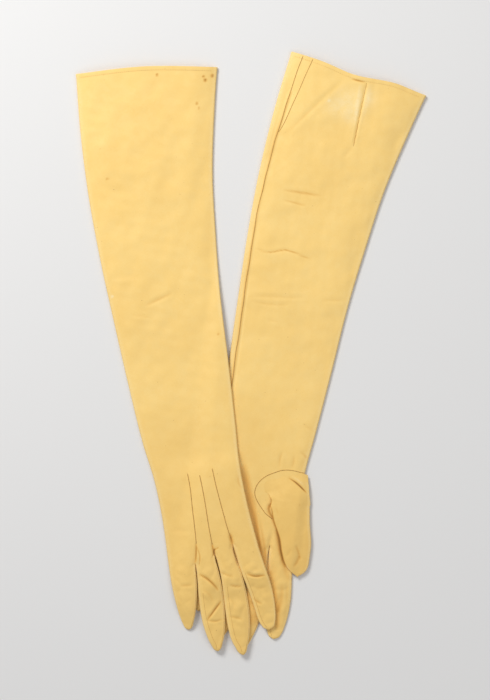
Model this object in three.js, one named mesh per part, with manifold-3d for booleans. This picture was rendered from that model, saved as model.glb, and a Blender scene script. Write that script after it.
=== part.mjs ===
// A pair of long kid-leather opera gloves, laid flat one over the other.
// The left glove lies palm up on the table, and the right glove lies back up across its fingers.
// Both are cut from one pattern, drawn in a glove frame: u runs across the hand toward the thumb,
// v runs from the knuckles toward the mouth of the arm, and z is up. Millimetres and degrees.

import * as THREE from 'three';
import Module from 'manifold-3d';

const wasm = await Module();
wasm.setup();

// ---- driving dimensions ----

const handWidth = 88;          // flat width across the knuckles, size six and a half
const armLength = 478;         // knuckles to the middle of the mouth
const leather = 0.7;           // thickness of the kid leather
const gap = 0.3;               // clearance between neighbouring pieces
const handHeight = 4;          // height of a flat hand or finger, both faces together
const mouthHeight = 8.4;       // height of the arm at its mouth
const tipHeight = 2.4;         // height at a fingertip
const hemWidth = 3.5;          // turned hem round the mouth
const mouthSkew = 11.3;        // how far the mouth line slants over each half width
const foldSkew = 8.5;          // the same for the line on which the arm folds
const fingerRoot = -12;        // where the fingers leave the hand
const fourchetteShow = 4;      // how much of a fourchette turns onto each face
const seamWidth = 0.8;         // raised line of a sewn seam
const sideSeamInset = 6;       // side seam, in from the little-finger edge
const sideSeamSpread = 6.5;    // extra inset of the side seam at the mouth
const gussetWidth = 10;        // arm gusset at the mouth
const gussetLength = 72;
const dartLength = 66;
const dartPlace = 41.5;        // the dart's place across the palm side
const thumbHole = { u: 19.5, v: 49.5, across: 21.5, along: 25 };
const pointWidth = 1;          // each of the three tucks on the back of the hand
const pointRise = 0.6;         // how far a tuck stands above the upper glove
const thumbTuck = 20;          // how far the right thumb is folded in under its palm
const rampLength = 24;         // how far out the upper glove starts to rise over the lower one
const flatMargin = 7;          // full height is kept this far past whatever lies below

// foldFromMouth is where the arm folds. The lower glove is flat, so it needs few steps across a
// face and few rows along the hand; the upper one bends over it.
const gloves = {
  left: {
    name: 'left', x: -1.05, y: -186.8, turn: -9, palmUp: true,
    foldFromMouth: 188, steps: 2, rows: 10,
  },
  right: {
    name: 'right', x: -39.05, y: -191.8, turn: 12, palmUp: false,
    foldFromMouth: 148, steps: 12, rows: 18,
  },
};

// ---- the pattern: [v, little-finger edge, thumb edge] ----

const patternWidth = 88;
const patternLength = 478;

const trankOutline = [
  [-12, -46.8, 45.3],
  [35, -43.3, 43.2],
  [75, -43.2, 44],
  [115, -46.8, 48.3],
  [175, -48.7, 54.2],
  [245, -49.8, 60.4],
  [300, -50.2, 67.8],
  [365, -48.5, 78.2],
  [430, -43.2, 94.2],
  [492, -34.9, 112],
];

const fingers = [
  {
    name: 'little', littleSide: false, thumbSide: true,
    outline: [[-12, -46.8, -20.4], [-30, -47.8, -22.4], [-48, -47.6, -26.2], [-64, -46.4, -31],
      [-75, -43.8, -36.2], [-78.5, -41.5, -38.5]],
  },
  {
    name: 'ring', littleSide: true, thumbSide: true,
    outline: [[-12, -19.4, 0.2], [-32, -21.4, 1.2], [-52, -23.9, 0.4], [-73, -24.8, -2.2],
      [-91, -23.2, -7.2], [-101, -19.8, -12.2], [-105, -17.8, -14.4]],
  },
  {
    name: 'middle', littleSide: true, thumbSide: true,
    outline: [[-12, 1.6, 20], [-34, 2.2, 23], [-56, 0.2, 23.4], [-78, -1.3, 21.8],
      [-96, -0.7, 17.6], [-109, 3.6, 12.2], [-114, 6.2, 9.6]],
  },
  {
    name: 'index', littleSide: true, thumbSide: false,
    outline: [[-12, 20.8, 45.3], [-30, 22.9, 47.3], [-50, 26.6, 49.6], [-68, 28.5, 49.4],
      [-84, 30.3, 46.4], [-92, 34.6, 42.2], [-94.5, 36.6, 40]],
  },
];

const thumbOutline = [
  [62, 18, 49.5], [45, 14.5, 53.4], [25, 19.3, 56.8], [7, 28.5, 60.9],
  [-8, 33.4, 61.8], [-20, 39.4, 61], [-29, 50, 55],
];

const pointLines = [
  [[-9, 74.5], [-9.6, 58], [-12, 30], [-14.6, 6]],
  [[2.6, 71], [2.3, 45], [1.2, 22], [0.5, 4]],
  [[16.2, 75], [16.8, 55], [18, 26], [19.4, 4]],
];

// The lower glove's little-finger side, which the upper glove rises over: [v, edge].
const lowerEdge = [
  [-130, 20], [-116, 0], [-96, -22], [-72, -44],
  [-30, -47.8], [50, -43.3], [175, -48.7], [300, -50.2],
];

// ---- sizes worked out from the driving dimensions ----

const widthGrade = handWidth / patternWidth;
const lengthGrade = armLength / patternLength;
const tuckedThumbHeight = 2 * leather + 0.6;
const thumbBump = tuckedThumbHeight + 2 * gap;
const wrist = 190;                   // the arm starts to deepen here, clear of the upper glove
for (const glove of Object.values(gloves)) glove.foldAt = armLength - glove.foldFromMouth;

// ---- small helpers ----

const { clamp, degToRad, lerp, smoothstep } = THREE.MathUtils;

function interpolate(table, at, column) {
  // Smooth value of one column of a table whose first column runs up or down.
  const rows = table[0][0] < table[table.length - 1][0] ? table : [...table].reverse();
  const last = rows.length - 1;
  let i = 0;
  while (i < last - 1 && at > rows[i + 1][0]) i += 1;
  const span = rows[i + 1][0] - rows[i][0];
  const t = clamp((at - rows[i][0]) / span, 0, 1);
  const slope = (k) => {
    const low = rows[Math.max(k - 1, 0)];
    const high = rows[Math.min(k + 1, last)];
    return (high[column] - low[column]) / (high[0] - low[0]);
  };
  const [a, b] = [rows[i][column], rows[i + 1][column]];
  const [slopeA, slopeB] = [slope(i) * span, slope(i + 1) * span];
  return a * (1 - t) ** 2 * (1 + 2 * t) + slopeA * t * (1 - t) ** 2
    + b * t * t * (3 - 2 * t) - slopeB * t * t * (1 - t);
}

function toWorld(glove, u, v) {
  const turn = degToRad(glove.turn);
  return [
    glove.x + u * Math.cos(turn) - v * Math.sin(turn),
    glove.y + u * Math.sin(turn) + v * Math.cos(turn),
  ];
}

function toGlove(glove, x, y) {
  const turn = degToRad(glove.turn);
  const [dx, dy] = [x - glove.x, y - glove.y];
  return [dx * Math.cos(turn) + dy * Math.sin(turn), dy * Math.cos(turn) - dx * Math.sin(turn)];
}

function riseOverLowerGlove(x, y) {
  const [u, v] = toGlove(gloves.left, x, y);
  const inside = u - interpolate(lowerEdge, v, 1) * widthGrade;
  return (trankHeight(v) + gap) * smoothstep(inside, -flatMargin - rampLength, -flatMargin);
}

function riseOverTuckedThumb(u, v) {
  const low = thumbOutline[thumbOutline.length - 1][0];
  const high = thumbOutline[0][0];
  const inner = (thumbOutline[1][1] - thumbTuck) * widthGrade;
  const fromTip = smoothstep(v, low - flatMargin - rampLength, low - flatMargin);
  const fromRoot = 1 - smoothstep(v, high + flatMargin, high + flatMargin + rampLength);
  const fromSide = smoothstep(u, inner - flatMargin - rampLength, inner - flatMargin);
  return thumbBump * fromTip * fromRoot * fromSide;
}

function placePoint(glove, u, v, z, height) {
  // The upper glove is turned over, and rises over the lower glove and its own tucked thumb.
  const [x, y] = toWorld(glove, u, v);
  if (glove.palmUp) return [x, y, z];
  return [x, y, height - z + riseOverLowerGlove(x, y) + riseOverTuckedThumb(u, v)];
}

function placeFlat(glove, u, v, z) {
  // The thumbs stay level, the upper one on the lower glove's rise alone.
  const [x, y] = toWorld(glove, u, v);
  return [x, y, z + (glove.palmUp ? 0 : riseOverLowerGlove(x, y))];
}

// ---- flattened tubes: rows across a glove, and paths round a row's section ----

function trankHeight(v) {
  return lerp(handHeight, mouthHeight, clamp((v - wrist) / (armLength - wrist), 0, 1));
}

function trankRow(vLittle, vThumb) {
  const little = [interpolate(trankOutline, vLittle / lengthGrade, 1) * widthGrade, vLittle];
  const thumb = [interpolate(trankOutline, vThumb / lengthGrade, 2) * widthGrade, vThumb];
  return { little, thumb, height: trankHeight((vLittle + vThumb) / 2) };
}

function slantedRows([low, lowSkew], [high, highSkew], count, steps = 2) {
  return Array.from({ length: count + 1 }, (_, i) => {
    const t = i / count;
    const row = trankRow(
      lerp(low + lowSkew, high + highSkew, t),
      lerp(low - lowSkew, high - highSkew, t),
    );
    return { ...row, steps };
  });
}

function digitRows(outline, steps, height, shift = 0) {
  const root = outline[0][0];
  const tip = outline[outline.length - 1][0];
  return Array.from({ length: steps + 1 }, (_, i) => {
    const t = Math.sin((i / steps) * Math.PI / 2);
    const v = lerp(root - gap / 2, tip, t);
    return {
      little: [(interpolate(outline, v, 1) - shift) * widthGrade, v],
      thumb: [(interpolate(outline, v, 2) - shift) * widthGrade, v],
      height: lerp(height, Math.min(tipHeight, height), smoothstep(t, 0.6, 1)),
    };
  });
}

function widthOf(row) {
  return Math.hypot(row.thumb[0] - row.little[0], row.thumb[1] - row.little[1]);
}

function facePoint(row, face, across) {
  const up = face === 'palm' ? 1 : -1;
  return { across, z: up > 0 ? row.height : 0, normal: [0, up] };
}

function faceRun(row, face, from, to, steps) {
  // Points strictly between two places on one face.
  return Array.from({ length: steps - 1 }, (_, i) => facePoint(row, face, lerp(from, to, (i + 1) / steps)));
}

function turnRun(row, side, from, to, steps) {
  // Points round one edge: 90 is the palm face, -90 the back face, 0 the middle of the edge.
  const radius = row.height / 2;
  const sign = side === 'thumb' ? 1 : -1;
  const centre = side === 'thumb' ? widthOf(row) - radius : radius;
  return Array.from({ length: steps + 1 }, (_, i) => {
    const angle = degToRad(lerp(from, to, i / steps));
    const normal = [sign * Math.cos(angle), Math.sin(angle)];
    return { across: centre + radius * normal[0], z: radius + radius * normal[1], normal };
  });
}

function edgeGap(row) {
  // Half of the clearance at the middle of an edge, as an angle.
  return THREE.MathUtils.radToDeg(gap / row.height);
}

function seamInset(row) {
  const climb = clamp((row.little[1] - 0.67 * armLength) / (0.35 * armLength), 0, 1);
  return sideSeamInset + sideSeamSpread * climb;
}

function gussetEdge(row) {
  const climb = clamp((row.little[1] - armLength + gussetLength) / gussetLength, 0, 1);
  return seamInset(row) + seamWidth / 2 + gap + gussetWidth * climb;
}

function palmStart(row) {
  const seam = seamInset(row) + seamWidth / 2 + gap;
  const gusseted = row.little[1] > armLength - gussetLength;
  return gusseted ? gussetEdge(row) + gap : seam;
}

const trankPaths = {
  back: (row) => [
    facePoint(row, 'palm', seamInset(row) - seamWidth / 2 - gap),
    ...turnRun(row, 'little', 90, -90, 3),
    ...faceRun(row, 'back', row.height / 2, widthOf(row) - row.height / 2, row.steps),
    ...turnRun(row, 'thumb', -90, -edgeGap(row), 2),
  ],
  palm: (row) => [
    facePoint(row, 'palm', palmStart(row)),
    ...faceRun(row, 'palm', palmStart(row), widthOf(row) - row.height / 2, row.steps),
    ...turnRun(row, 'thumb', 90, edgeGap(row), 2),
  ],
  seam: (row) => [-1, 1].map((end) => facePoint(row, 'palm', seamInset(row) + end * seamWidth / 2)),
  gusset: (row) => {
    const start = seamInset(row) + seamWidth / 2 + gap;
    return [start, gussetEdge(row)].map((across) => facePoint(row, 'palm', across));
  },
};

function fourchetteInset(row) {
  const least = row.height / 2 + gap + 0.05;
  return Math.max(Math.min(fourchetteShow, 0.28 * widthOf(row)), least);
}

function leafPath(finger, face) {
  const top = face === 'palm' ? 90 : -90;
  return (row) => {
    const [inset, width] = [fourchetteInset(row), widthOf(row)];
    const from = finger.littleSide ? inset : row.height / 2;
    const to = width - (finger.thumbSide ? inset : row.height / 2);
    const middle = Math.sign(top) * edgeGap(row);
    const start = finger.littleSide ? [facePoint(row, face, from)] : turnRun(row, 'little', middle, top, 2);
    const end = finger.thumbSide ? [facePoint(row, face, to)] : turnRun(row, 'thumb', top, middle, 2);
    return [...start, ...faceRun(row, face, from, to, 2), ...end];
  };
}

function fourchettePath(side) {
  return (row) => {
    const inset = fourchetteInset(row) - gap;
    const across = side === 'thumb' ? widthOf(row) - inset : inset;
    return [
      facePoint(row, 'palm', across),
      ...turnRun(row, side, 90, -90, 3),
      facePoint(row, 'back', across),
    ];
  };
}

function thumbPath(face) {
  const top = face === 'palm' ? 90 : -90;
  return (row) => {
    const middle = Math.sign(top) * edgeGap(row);
    const [from, to] = [row.height / 2, widthOf(row) - row.height / 2];
    return [
      ...turnRun(row, 'little', middle, top, 2),
      ...faceRun(row, face, from, to, 3),
      ...turnRun(row, 'thumb', top, middle, 2),
    ];
  };
}

// ---- closed sheets of leather between an outer and an inner face ----

function sheetFaces(glove, rows, path, { rise = 0, raise = 0, flat = false }) {
  const placed = (row, point, depth) => {
    const width = widthOf(row);
    const across = (point.across - point.normal[0] * depth) / width;
    const u = lerp(row.little[0], row.thumb[0], across);
    const v = lerp(row.little[1], row.thumb[1], across);
    const z = point.z - point.normal[1] * depth + raise;
    return flat ? placeFlat(glove, u, v, z) : placePoint(glove, u, v, z, row.height);
  };
  return [-rise, leather].map((depth) => (
    rows.map((row) => path(row).map((point) => placed(row, point, depth)))
  ));
}

function sheetSolid(glove, rows, path, options = {}) {
  const [outer, inner] = sheetFaces(glove, rows, path, options);
  const [rowCount, columnCount] = [outer.length, outer[0].length];
  const vertices = [...outer.flat(), ...inner.flat()];
  const triangles = [];
  const index = (layer, r, c) => layer * rowCount * columnCount + r * columnCount + (c % columnCount);
  const quad = (a, b, c, d) => triangles.push([a, b, c], [a, c, d]);
  const columns = options.closed ? columnCount : columnCount - 1;
  for (let r = 0; r < rowCount - 1; r += 1) {
    for (let c = 0; c < columns; c += 1) {
      quad(index(0, r, c), index(0, r, c + 1), index(0, r + 1, c + 1), index(0, r + 1, c));
      quad(index(1, r, c), index(1, r + 1, c), index(1, r + 1, c + 1), index(1, r, c + 1));
    }
    if (!options.closed) {
      const end = columnCount - 1;
      quad(index(0, r, 0), index(0, r + 1, 0), index(1, r + 1, 0), index(1, r, 0));
      quad(index(0, r, end), index(1, r, end), index(1, r + 1, end), index(0, r + 1, end));
    }
  }
  const top = rowCount - 1;
  for (let c = 0; c < columns; c += 1) {
    quad(index(0, 0, c), index(1, 0, c), index(1, 0, c + 1), index(0, 0, c + 1));
    quad(index(0, top, c), index(0, top, c + 1), index(1, top, c + 1), index(1, top, c));
  }
  return solidFrom(vertices, triangles);
}

function signedVolume(vertices, triangles) {
  return triangles.reduce((sum, [a, b, c]) => {
    const [p, q, r] = [vertices[a], vertices[b], vertices[c]].map((v) => new THREE.Vector3(...v));
    return sum + p.dot(q.cross(r)) / 6;
  }, 0);
}

function solidFrom(vertices, triangles) {
  const outward = signedVolume(vertices, triangles) > 0;
  const wound = outward ? triangles : triangles.map(([a, b, c]) => [a, c, b]);
  return new wasm.Manifold(new wasm.Mesh({
    numProp: 3,
    vertProperties: new Float32Array(vertices.flat()),
    triVerts: new Uint32Array(wound.flat()),
  }));
}

function prism(glove, outline) {
  // An upright cutter over a closed outline given in the glove frame.
  const [floor, roof] = [-10, 40];
  const count = outline.length;
  const plan = outline.map(([u, v]) => toWorld(glove, u, v));
  const vertices = [floor, roof].flatMap((z) => plan.map(([x, y]) => [x, y, z]));
  const contour = plan.map(([x, y]) => new THREE.Vector2(x, y));
  const caps = THREE.ShapeUtils.triangulateShape(contour, []);
  const triangles = caps.flatMap(([a, b, c]) => [[a, c, b], [a + count, b + count, c + count]]);
  const facing = THREE.ShapeUtils.isClockWise(contour) ? -1 : 1;
  for (let i = 0; i < count; i += 1) {
    const next = (i + 1) % count;
    const wall = [[i, next, next + count], [i, next + count, i + count]];
    triangles.push(...wall.map(([a, b, c]) => (facing > 0 ? [a, b, c] : [a, c, b])));
  }
  return solidFrom(vertices, triangles);
}

function ellipse(grow) {
  const segments = 28;
  return Array.from({ length: segments }, (_, i) => {
    const angle = (i / segments) * 2 * Math.PI;
    return [
      (thumbHole.u + (thumbHole.across + grow) * Math.cos(angle)) * widthGrade,
      thumbHole.v + (thumbHole.along + grow) * Math.sin(angle),
    ];
  });
}

function ribbon(line, width) {
  // Outline of a narrow band along a line of points, with square ends grown by half its width.
  const points = line.map(([u, v]) => new THREE.Vector2(u * widthGrade, v));
  const last = points.length - 1;
  const sides = points.map((point, i) => {
    const ahead = points[Math.min(i + 1, last)];
    const behind = points[Math.max(i - 1, 0)];
    const along = ahead.clone().sub(behind).normalize();
    const out = new THREE.Vector2(-along.y, along.x).multiplyScalar(width / 2);
    const atEnd = i === 0 ? -1 : Number(i === last);
    const middle = point.clone().addScaledVector(along, atEnd * width / 2);
    return [middle.clone().add(out), middle.clone().sub(out)];
  });
  const outline = [...sides.map((s) => s[0]), ...sides.map((s) => s[1]).reverse()];
  return outline.map((p) => [p.x, p.y]);
}

// ---- materials and nodes ----

const kid = new THREE.MeshStandardMaterial({ color: 0xf8d882, roughness: 0.55, metalness: 0 });
const kidDeep = new THREE.MeshStandardMaterial({ color: 0xefc878, roughness: 0.6, metalness: 0 });
const thread = new THREE.MeshStandardMaterial({ color: 0xdcae58, roughness: 0.7, metalness: 0 });

const pair = new THREE.Group();

function addNode(name, solid, material) {
  const source = solid.getMesh();
  const geometry = new THREE.BufferGeometry();
  geometry.setAttribute('position', new THREE.BufferAttribute(new Float32Array(source.vertProperties), 3));
  geometry.setIndex(new THREE.BufferAttribute(new Uint32Array(source.triVerts), 1));
  geometry.computeVertexNormals();
  const mesh = new THREE.Mesh(geometry, material.clone());
  mesh.name = name;
  pair.add(mesh);
}

// ---- sub-parts ----

function addArm(glove) {
  const side = glove.name;
  const end = armLength - hemWidth - gap;
  const rows = slantedRows([glove.foldAt + gap / 2, foldSkew], [end, mouthSkew], 6);
  addNode(`${side}_arm_back`, sheetSolid(glove, rows, trankPaths.back), kid);
  const dart = [[dartPlace, armLength + 10], [dartPlace - 1, armLength - dartLength]];
  const slit = prism(glove, ribbon(dart, 2 * gap));
  addNode(`${side}_arm_palm`, sheetSolid(glove, rows, trankPaths.palm).subtract(slit), kid);
  addNode(`${side}_arm_side_seam`, sheetSolid(glove, rows, trankPaths.seam), thread);
  const gussetStart = armLength - gussetLength + 6 - mouthSkew;
  const gussetRows = slantedRows([gussetStart, mouthSkew], [end, mouthSkew], 3);
  addNode(`${side}_arm_gusset`, sheetSolid(glove, gussetRows, trankPaths.gusset), kid);
  addHem(glove);
}

function addHem(glove) {
  const rows = slantedRows([armLength - hemWidth, mouthSkew], [armLength, mouthSkew], 1);
  const loop = (row) => [
    ...turnRun(row, 'little', 90, -90, 4),
    ...faceRun(row, 'back', row.height / 2, widthOf(row) - row.height / 2, row.steps),
    ...turnRun(row, 'thumb', -90, 90, 4),
    ...faceRun(row, 'palm', widthOf(row) - row.height / 2, row.height / 2, row.steps),
  ];
  addNode(`${glove.name}_mouth_hem`, sheetSolid(glove, rows, loop, { closed: true }), kidDeep);
}

function addHand(glove) {
  const side = glove.name;
  const fold = [glove.foldAt - gap / 2, foldSkew];
  const rows = slantedRows([fingerRoot + gap / 2, 0], fold, glove.rows, glove.steps);
  const slots = pointLines.map((line) => prism(glove, ribbon(line, pointWidth + 2 * gap)));
  const whole = sheetSolid(glove, rows, trankPaths.back);
  const back = slots.reduce((solid, slot) => solid.subtract(slot), whole);
  addNode(`${side}_hand_back`, back, kid);
  const raised = sheetSolid(glove, rows, trankPaths.back, { rise: glove.palmUp ? 0 : pointRise });
  pointLines.forEach((line, i) => {
    addNode(`${side}_point_${i + 1}`, raised.intersect(prism(glove, ribbon(line, pointWidth))), thread);
  });
  const palm = sheetSolid(glove, rows, trankPaths.palm);
  addNode(`${side}_hand_palm`, palm.subtract(prism(glove, ellipse(seamWidth + 2 * gap))), kid);
  const ring = prism(glove, ellipse(seamWidth + gap)).subtract(prism(glove, ellipse(gap)));
  addNode(`${side}_thumb_seam`, palm.intersect(ring), thread);
  addNode(`${side}_thumb_root`, palm.intersect(prism(glove, ellipse(0))), kidDeep);
  addNode(`${side}_hand_side_seam`, sheetSolid(glove, rows, trankPaths.seam), thread);
}

function addFinger(glove, finger) {
  const stem = `${glove.name}_${finger.name}`;
  const rows = digitRows(finger.outline, 7, handHeight);
  for (const face of ['back', 'palm']) {
    addNode(`${stem}_${face}`, sheetSolid(glove, rows, leafPath(finger, face)), kidDeep);
  }
  for (const side of ['little', 'thumb']) {
    if (!finger[`${side}Side`]) continue;
    const strip = sheetSolid(glove, rows, fourchettePath(side));
    addNode(`${stem}_fourchette_${side}_side`, strip, kidDeep);
  }
}

function addThumb(glove) {
  const height = glove.palmUp ? handHeight : tuckedThumbHeight;
  const rows = digitRows(thumbOutline, 8, height, glove.palmUp ? 0 : thumbTuck);
  const options = { raise: glove.palmUp ? handHeight + gap : 0, flat: true };
  const [lower, upper] = glove.palmUp ? ['back', 'front'] : ['front', 'back'];
  const under = sheetSolid(glove, rows, thumbPath('back'), options);
  const over = sheetSolid(glove, rows, thumbPath('palm'), options);
  addNode(`${glove.name}_thumb_${lower}`, under, kidDeep);
  addNode(`${glove.name}_thumb_${upper}`, over, kidDeep);
}

for (const glove of Object.values(gloves)) {
  addArm(glove);
  addHand(glove);
  fingers.forEach((finger) => addFinger(glove, finger));
  addThumb(glove);
}

export default pair;
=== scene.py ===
import math

import bpy
import numpy as np
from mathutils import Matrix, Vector
from mathutils.bvhtree import BVHTree


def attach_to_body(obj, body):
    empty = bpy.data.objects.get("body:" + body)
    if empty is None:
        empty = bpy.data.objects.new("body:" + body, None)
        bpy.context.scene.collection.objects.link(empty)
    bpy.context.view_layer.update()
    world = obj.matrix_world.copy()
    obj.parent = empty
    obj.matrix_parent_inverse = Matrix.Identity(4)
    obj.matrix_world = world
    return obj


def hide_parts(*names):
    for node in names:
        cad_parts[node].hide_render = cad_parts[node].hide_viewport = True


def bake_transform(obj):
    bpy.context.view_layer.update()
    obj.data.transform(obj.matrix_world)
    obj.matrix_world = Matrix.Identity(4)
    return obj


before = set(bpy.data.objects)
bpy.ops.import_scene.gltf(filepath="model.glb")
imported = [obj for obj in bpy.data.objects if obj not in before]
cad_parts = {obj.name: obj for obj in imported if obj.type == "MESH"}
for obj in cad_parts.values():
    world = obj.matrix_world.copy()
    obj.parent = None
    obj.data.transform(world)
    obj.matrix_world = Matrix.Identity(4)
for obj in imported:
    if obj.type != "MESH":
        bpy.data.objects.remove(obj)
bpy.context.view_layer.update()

# ---- sizes and places, in millimetres and degrees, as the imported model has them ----

MM = 0.001
LEATHER = 0.7
GAP = 0.3
HAND_HEIGHT = 4.0
MOUTH_HEIGHT = 8.4
TIP_HEIGHT = 2.4
ARM_LENGTH = 478.0
WRIST = 190.0
MOUTH_SKEW = 11.3
FINGER_ROOT = -12.0
HEM_WIDTH = 3.5
GUSSET_LENGTH = 72.0
GUSSET_WIDTH = 10.0
SIDE_SEAM_INSET = 6.0
SIDE_SEAM_SPREAD = 6.5
THUMB_TUCK = 20.0
RAMP_LENGTH = 24.0
FLAT_MARGIN = 7.0
TUCKED_THUMB_HEIGHT = 2 * LEATHER + 0.6

GLOVES = {
    "left": {"x": -1.05, "y": -186.8, "turn": -9.0, "palm_up": True},
    "right": {"x": -39.05, "y": -191.8, "turn": 12.0, "palm_up": False},
}

# Pattern: [v, little-finger edge, thumb edge]; u runs across toward the thumb, v toward the mouth.
TRANK_OUTLINE = [
    (-12, -46.8, 45.3), (35, -43.3, 43.2), (75, -43.2, 44), (115, -46.8, 48.3), (175, -48.7, 54.2),
    (245, -49.8, 60.4), (300, -50.2, 67.8), (365, -48.5, 78.2), (430, -43.2, 94.2), (492, -34.9, 112),
]
FINGER_OUTLINES = {
    "little": [(-12, -46.8, -20.4), (-30, -47.8, -22), (-48, -47.6, -25.6), (-64, -46.4, -30.6),
               (-75, -44.2, -35.6), (-78.5, -43, -37.2)],
    "ring": [(-12, -19.4, 0.2), (-32, -21.6, 1.4), (-52, -24.3, 0.6), (-73, -25.3, -2.2),
             (-91, -23.4, -6.8), (-101, -20.6, -11.4), (-105, -19.2, -13)],
    "middle": [(-12, 1.6, 20), (-34, 2.2, 23.2), (-56, 0.3, 23.9), (-78, -1.3, 22.2),
               (-96, -0.9, 17.8), (-109, 3.1, 12.6), (-114, 5.4, 10.4)],
    "index": [(-12, 20.8, 45.3), (-30, 22.7, 47.3), (-50, 25.9, 49.6), (-68, 28.1, 49.5),
              (-84, 30, 47.2), (-92, 33.2, 44.2), (-94.5, 34.7, 42.6)],
}
THUMB_OUTLINE = [
    (62, 18, 49.5), (45, 14.5, 53.4), (25, 19.3, 56.8), (7, 28.5, 60.9),
    (-8, 33.4, 61.8), (-20, 39.4, 61), (-29, 50, 55),
]
LOWER_EDGE = [
    (-130, 20), (-116, 0), (-96, -22), (-72, -44), (-30, -47.8), (50, -43.3), (175, -48.7), (300, -50.2),
]
POINT_LINES = [
    [(-9, 74.5), (-9.4, 60), (-11.2, 42), (-13.2, 20), (-14.9, 5)],
    [(2.6, 71), (2.6, 58), (2.1, 42), (1, 22), (0.4, 1)],
    [(16.2, 75), (16.4, 58), (17.3, 38), (18.7, 14), (19.8, 3)],
]
# The thumb's seam on the palm, from under the thumb's edge round to the thumb side of the hand.
THUMB_RING = [
    (18.4, 24.2), (11.7, 28.2), (6.3, 33.4), (0.6, 40.2), (-2.6, 47.1), (-2.3, 53.7), (0.8, 60),
    (6.2, 65.7), (13.2, 70), (21, 73.8), (30, 75.2), (39, 74.6), (47.4, 73.2),
]
THUMB_RING_UNDER = [(46.5, 62), (43.5, 48), (37, 34), (27, 25.5)]
DART = [(43.6, 469), (42.6, 450), (41.6, 430), (40.5, 405)]

GUSSET_START = ARM_LENGTH - GUSSET_LENGTH - MOUTH_SKEW + 5
FINGERS = ("little", "ring", "middle", "index")
CROTCHES = ((-19.9, -14.0), (0.9, -8.0), (20.4, -2.0))
TOP_SPANS = (6, 6, 14, 24, 24, 28)        # columns between the knots across the upper face
UNDER_SPANS = (2, 2, 4, 5, 5, 6)
FINGER_SPANS = {"little": (0, 3), "ring": (3, 4), "middle": (4, 5), "index": (5, 6)}
FOURCHETTE_COLUMNS = {"ring": 4, "middle": 4, "index": 3}   # that turn onto the finger's upper face
TRANK_ROWS = 310
FINGER_ROWS = 112
HAND_EDGE, MOUTH_EDGE = 2.7, 3.2           # thickness of the folded edges along the hand and arm
FINGER_EDGE, TIP_EDGE = 2.5, 1.7
HAND_SHOULDER, MOUTH_SHOULDER = 11, 34     # how far in from an edge the leather rises to full height
VALLEY_DEPTH, VALLEY_WIDTH, VALLEY_LENGTH = 1.5, 2.6, 22
FINGER_BLUNT = 3.6                         # length of a finger's round end
EDGE_ANGLES = (50, 0, -50)                 # points round a folded edge, in degrees
# Rings over the turned hem and down inside the arm: (distance in from the mouth, depth in the leather).
LINING_RINGS = (
    (0.2, 0.42), (HEM_WIDTH, 0.95), (HEM_WIDTH + 1.2, LEATHER), (20, LEATHER), (40, LEATHER), (60, LEATHER),
)
# Rings up to the mouth: (share of the length, swell of the folded leather).
HEM_START = 1 - HEM_WIDTH / (ARM_LENGTH - FINGER_ROOT)
HEM_RINGS = (
    (HEM_START - 0.002, 0.0), (HEM_START, 0.1), (HEM_START + 0.4 * (1 - HEM_START), 0.2), (0.9993, 0.2),
    (1.0, 0.05),
)

# The lower glove's thumb: a patch between the ring seam and two side lines, then a tube to its tip.
THUMB_ARC = [
    (-1.9, 52), (1.2, 60.6), (6.4, 65.8), (13.2, 70), (21, 73.7), (30, 75.1), (39, 74.5), (47, 73),
]
THUMB_FREE = 44.0                          # the thumb comes free of the palm here
FLARE_LEFT = [(-1.9, 52), (6, 50.5), (12, 48), (15.2, THUMB_FREE)]
FLARE_RIGHT = [(47, 73), (50, 62), (52, 52), (53.6, THUMB_FREE)]
THUMB_ROWS = 90
FLARE_ROWS = 44
THUMB_COLUMNS = 60
THUMB_STILL_ROWS = 17                      # marks fade in over these rows
THUMB_HEIGHT = 3.5
THUMB_BLUNT = 5.0
THUMB_FREE_EDGE, THUMB_MID_EDGE, THUMB_TIP_EDGE = 1.6, 2.6, 1.8
THUMB_SAG = 0.75
TUCKED_ROWS = 44
TUCKED_COLUMNS = 14

ARM_BLEND = (-26, 26)                      # where a bend starts and ends, from its joint toward the mouth
FINGER_BLEND = (-2, -20)
TONE_SEED, SWELL_SEED, RIPPLE_SEED, CRUMPLE_SEED, THUMB_SEED = 31, 10, 20, 50, 41
SEAM_STEP = 1.2                            # spacing of points along a seam
SEAM_JUMP = 1.2                            # a bigger jump in height ends a run of a seam
STEEP = 0.35                               # a seam skips leather whose upward slope is less
TABLE_GAP = 0.05                           # the leather starts this far above the table
# How far in from a finger's edges its seams lie: (little-finger side, thumb side).
FINGER_SEAMS = {"little": (None, 0.8), "ring": (4.4, 0.8), "middle": (4.4, 0.8), "index": (3.0, None)}


# ---- numbers along tables ----

def smooth_table(table, at, column):
    """Smooth value of one column of a table at each place."""
    rows = np.array(sorted(table), float)
    x, y = rows[:, 0], rows[:, column]
    before = np.maximum(np.arange(len(x)) - 1, 0)
    after = np.minimum(np.arange(len(x)) + 1, len(x) - 1)
    slope = (y[after] - y[before]) / (x[after] - x[before])
    i = np.clip(np.searchsorted(x, at) - 1, 0, len(x) - 2)
    span = x[i + 1] - x[i]
    t = np.clip((at - x[i]) / span, 0, 1)
    low = y[i] * (1 - t) ** 2 * (1 + 2 * t) + slope[i] * span * t * (1 - t) ** 2
    return low + y[i + 1] * t * t * (3 - 2 * t) - slope[i + 1] * span * t * t * (1 - t)


def smoothstep(at, low, high):
    t = np.clip((np.asarray(at, float) - low) / (high - low), 0, 1)
    return t * t * (3 - 2 * t)


def lerp(a, b, t):
    return a + (b - a) * t


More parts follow.
